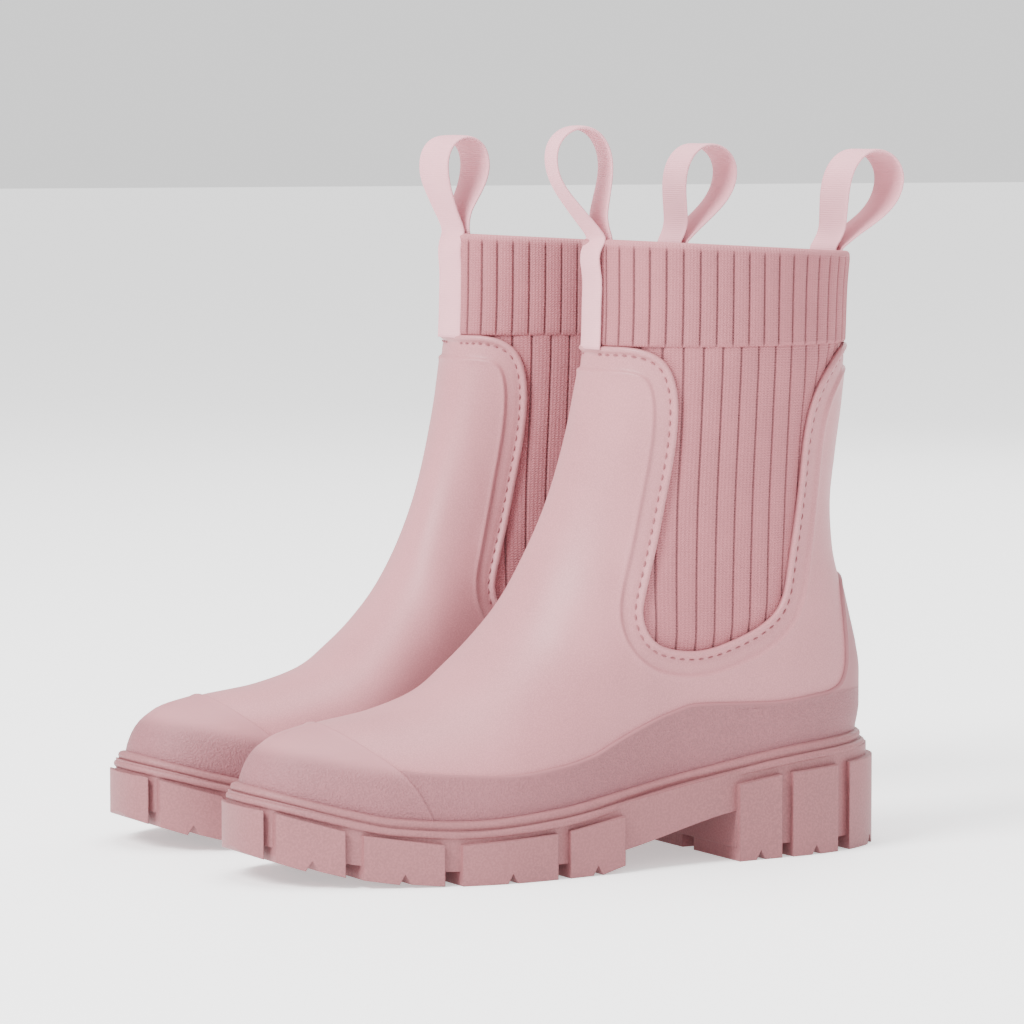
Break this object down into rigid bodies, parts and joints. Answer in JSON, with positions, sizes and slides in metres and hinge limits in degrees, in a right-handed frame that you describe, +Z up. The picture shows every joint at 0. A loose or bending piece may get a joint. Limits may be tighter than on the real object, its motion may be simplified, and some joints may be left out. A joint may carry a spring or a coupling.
{
  "type": "pair of rain boots",
  "caption": "Pair of ankle-high rubber rain boots with ribbed knit collar and side gores, webbing pull loops and a chunky lug sole.",
  "frame": {"origin": "on the ground, in the middle of the bounding box of the standing pair", "axes": "+Z up, toes point to -Y, +X from the right boot towards the left boot"},
  "size_m": [0.225, 0.2977, 0.2963],
  "materials": {
    "sole_rubber": "matte moulded, fine grain",
    "upper_rubber": "satin moulded",
    "foxing_rubber": "matte with fine grain",
    "rib_knit": "rib knit",
    "webbing": "woven tape",
    "lining_textile": "knitted sock lining",
    "thread": "twisted thread",
    "insole_board": "pressed fibre board",
    "footbed_foam": "fabric-covered foam"
  },
  "bodies": {
    "left_boot": {"left_outsole": "sole_rubber", "left_welt_strip": "sole_rubber", "left_upper_shell": "upper_rubber", "left_mudguard": "foxing_rubber", "left_toe_cap": "foxing_rubber", "left_heel_counter": "foxing_rubber", "left_lining": "lining_textile", "left_insole_board": "insole_board", "left_knit_collar": "rib_knit", "left_gore_lateral": "rib_knit", "left_gore_medial": "rib_knit", "left_webbing_tails_front": "webbing", "left_webbing_tails_back": "webbing", "left_window_stitching": "thread"},
    "left_footbed": {"left_footbed": "footbed_foam"},
    "left_pull_loop_front": {"left_pull_loop_front": "webbing"},
    "left_pull_loop_back": {"left_pull_loop_back": "webbing"},
    "right_boot": {"right_outsole": "sole_rubber", "right_welt_strip": "sole_rubber", "right_upper_shell": "upper_rubber", "right_mudguard": "foxing_rubber", "right_toe_cap": "foxing_rubber", "right_heel_counter": "foxing_rubber", "right_lining": "lining_textile", "right_insole_board": "insole_board", "right_knit_collar": "rib_knit", "right_gore_lateral": "rib_knit", "right_gore_medial": "rib_knit", "right_webbing_tails_front": "webbing", "right_webbing_tails_back": "webbing", "right_window_stitching": "thread"},
    "right_footbed": {"right_footbed": "footbed_foam"},
    "right_pull_loop_front": {"right_pull_loop_front": "webbing"},
    "right_pull_loop_back": {"right_pull_loop_back": "webbing"}
  },
  "joints": [
    {"name": "left_footbed_peel", "type": "hinge", "parent": "left_boot", "child": "left_footbed", "pos_m": [0.055, -0.1349, 0.0219], "axis": [1, 0, 0], "range_deg": [0, 8]},
    {"name": "left_front_loop_flex", "type": "hinge", "parent": "left_boot", "child": "left_pull_loop_front", "pos_m": [0.0635, 0.0162, 0.2545], "axis": [1, 0, 0], "range_deg": [-40, 45], "stiffness_Nm_per_rad": 0.03},
    {"name": "left_back_loop_flex", "type": "hinge", "parent": "left_boot", "child": "left_pull_loop_back", "pos_m": [0.0635, 0.12304, 0.2485], "axis": [1, 0, 0], "range_deg": [-35, 50], "stiffness_Nm_per_rad": 0.03},
    {"name": "right_boot_lift", "type": "slide", "parent": "left_boot", "child": "right_boot", "axis": [0, 0, 1], "range_m": [0, 0.3]},
    {"name": "right_footbed_peel", "type": "hinge", "parent": "right_boot", "child": "right_footbed", "pos_m": [-0.055, -0.1349, 0.0219], "axis": [1, 0, 0], "range_deg": [0, 8]},
    {"name": "right_front_loop_flex", "type": "hinge", "parent": "right_boot", "child": "right_pull_loop_front", "pos_m": [-0.0635, 0.0162, 0.2545], "axis": [1, 0, 0], "range_deg": [-40, 45], "stiffness_Nm_per_rad": 0.03},
    {"name": "right_back_loop_flex", "type": "hinge", "parent": "right_boot", "child": "right_pull_loop_back", "pos_m": [-0.0635, 0.12304, 0.2485], "axis": [1, 0, 0], "range_deg": [-35, 50], "stiffness_Nm_per_rad": 0.03}
  ]
}
